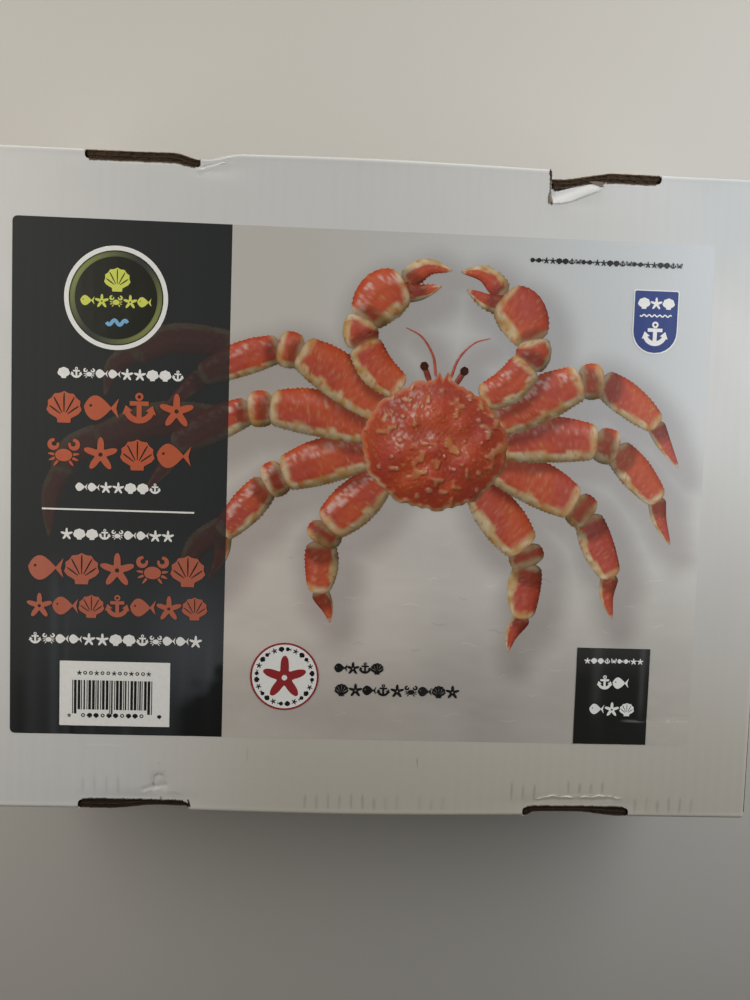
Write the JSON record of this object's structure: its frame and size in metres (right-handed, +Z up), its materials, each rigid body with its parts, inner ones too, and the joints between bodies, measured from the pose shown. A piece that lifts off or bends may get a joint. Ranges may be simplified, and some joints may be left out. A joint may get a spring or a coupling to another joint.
{
  "type": "two-piece corrugated seafood carton",
  "caption": "Flat white corrugated carton whose deep lid telescopes over a tray, with folded-over long walls locked by tabs in slots and a printed top.",
  "frame": {"origin": "centre of the carton's plan on the surface it stands on", "axes": "+X along the long side, to the right of the printed top as it is read; +Y to the top of the print; +Z up"},
  "size_m": [0.4406, 0.3576, 0.11],
  "materials": {
    "white_board": "matte",
    "brown_board": "matte",
    "printed_board": "satin"
  },
  "bodies": {
    "tray": {"tray_panel": "white_board", "tray_front_outer_wall": "white_board", "tray_front_inner_wall": "white_board", "tray_front_left_flap": "brown_board", "tray_front_right_flap": "brown_board", "tray_back_outer_wall": "white_board", "tray_back_inner_wall": "white_board", "tray_back_left_flap": "brown_board", "tray_back_right_flap": "brown_board", "tray_left_end_wall": "white_board", "tray_right_end_wall": "white_board"},
    "lid": {"lid_panel": "white_board", "lid_front_outer_wall": "white_board", "lid_front_inner_wall": "white_board", "lid_front_left_flap": "brown_board", "lid_front_right_flap": "brown_board", "lid_back_outer_wall": "white_board", "lid_back_inner_wall": "white_board", "lid_back_left_flap": "brown_board", "lid_back_right_flap": "brown_board", "lid_left_end_wall": "white_board", "lid_right_end_wall": "white_board"}
  },
  "joints": [
    {"name": "lid_lift", "type": "slide", "parent": "tray", "child": "lid", "axis": [0, 0, 1], "range_m": [0, 0.12]}
  ]
}
